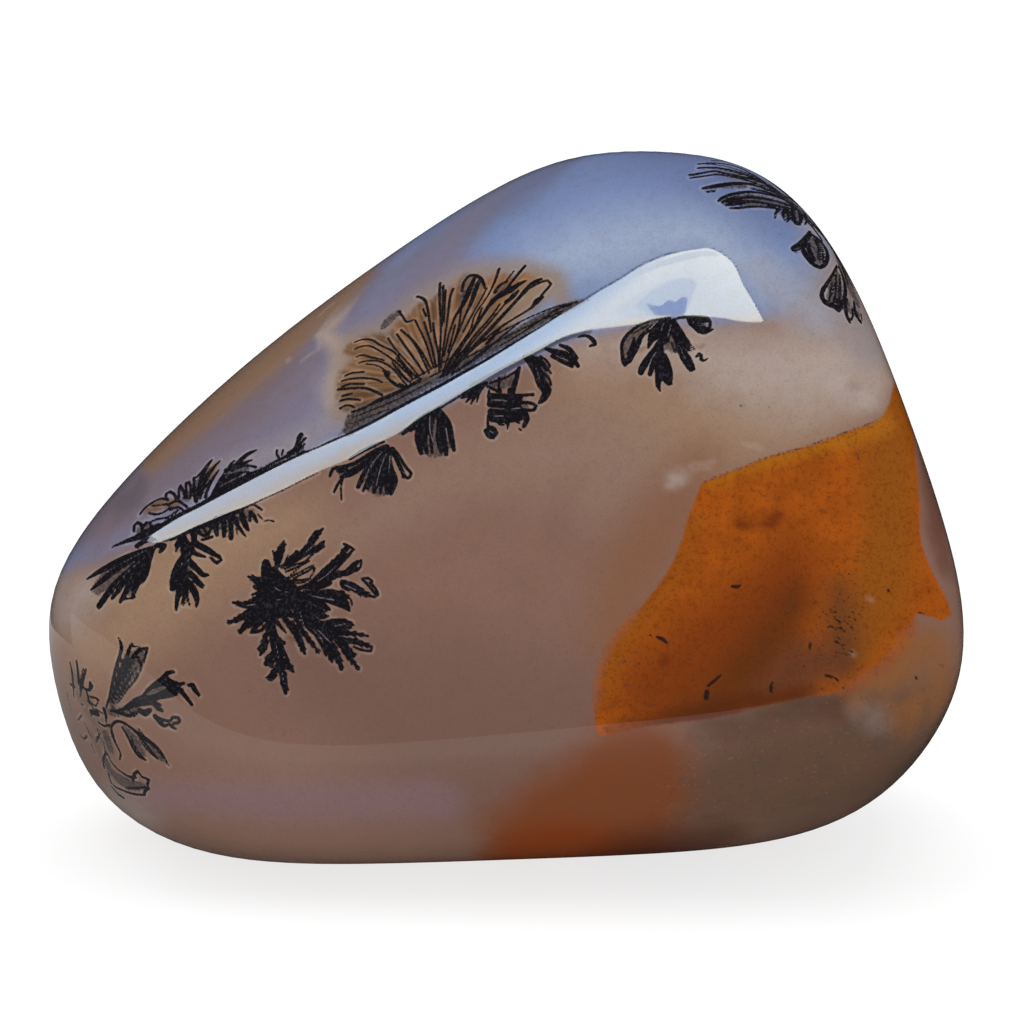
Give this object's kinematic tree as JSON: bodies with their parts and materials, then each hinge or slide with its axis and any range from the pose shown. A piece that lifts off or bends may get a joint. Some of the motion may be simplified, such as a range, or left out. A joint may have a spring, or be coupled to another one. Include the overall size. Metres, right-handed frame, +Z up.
{
  "type": "dendritic agate specimen",
  "caption": "Polished freeform dendritic agate pebble with fern-like dark inclusions and a jasper patch, resting on a small flat spot.",
  "frame": {"origin": "middle of the bounding box, at the level of the flat spot that the stone rests on", "axes": "+X along the stone's length, towards its tall orange end; -Y out of its broad dendritic face; +Z up"},
  "size_m": [0.0438, 0.0256, 0.034],
  "materials": {
    "polished_agate": "high polish, waxy translucent"
  },
  "bodies": {
    "root": {"agate": "polished_agate"}
  },
  "joints": []
}
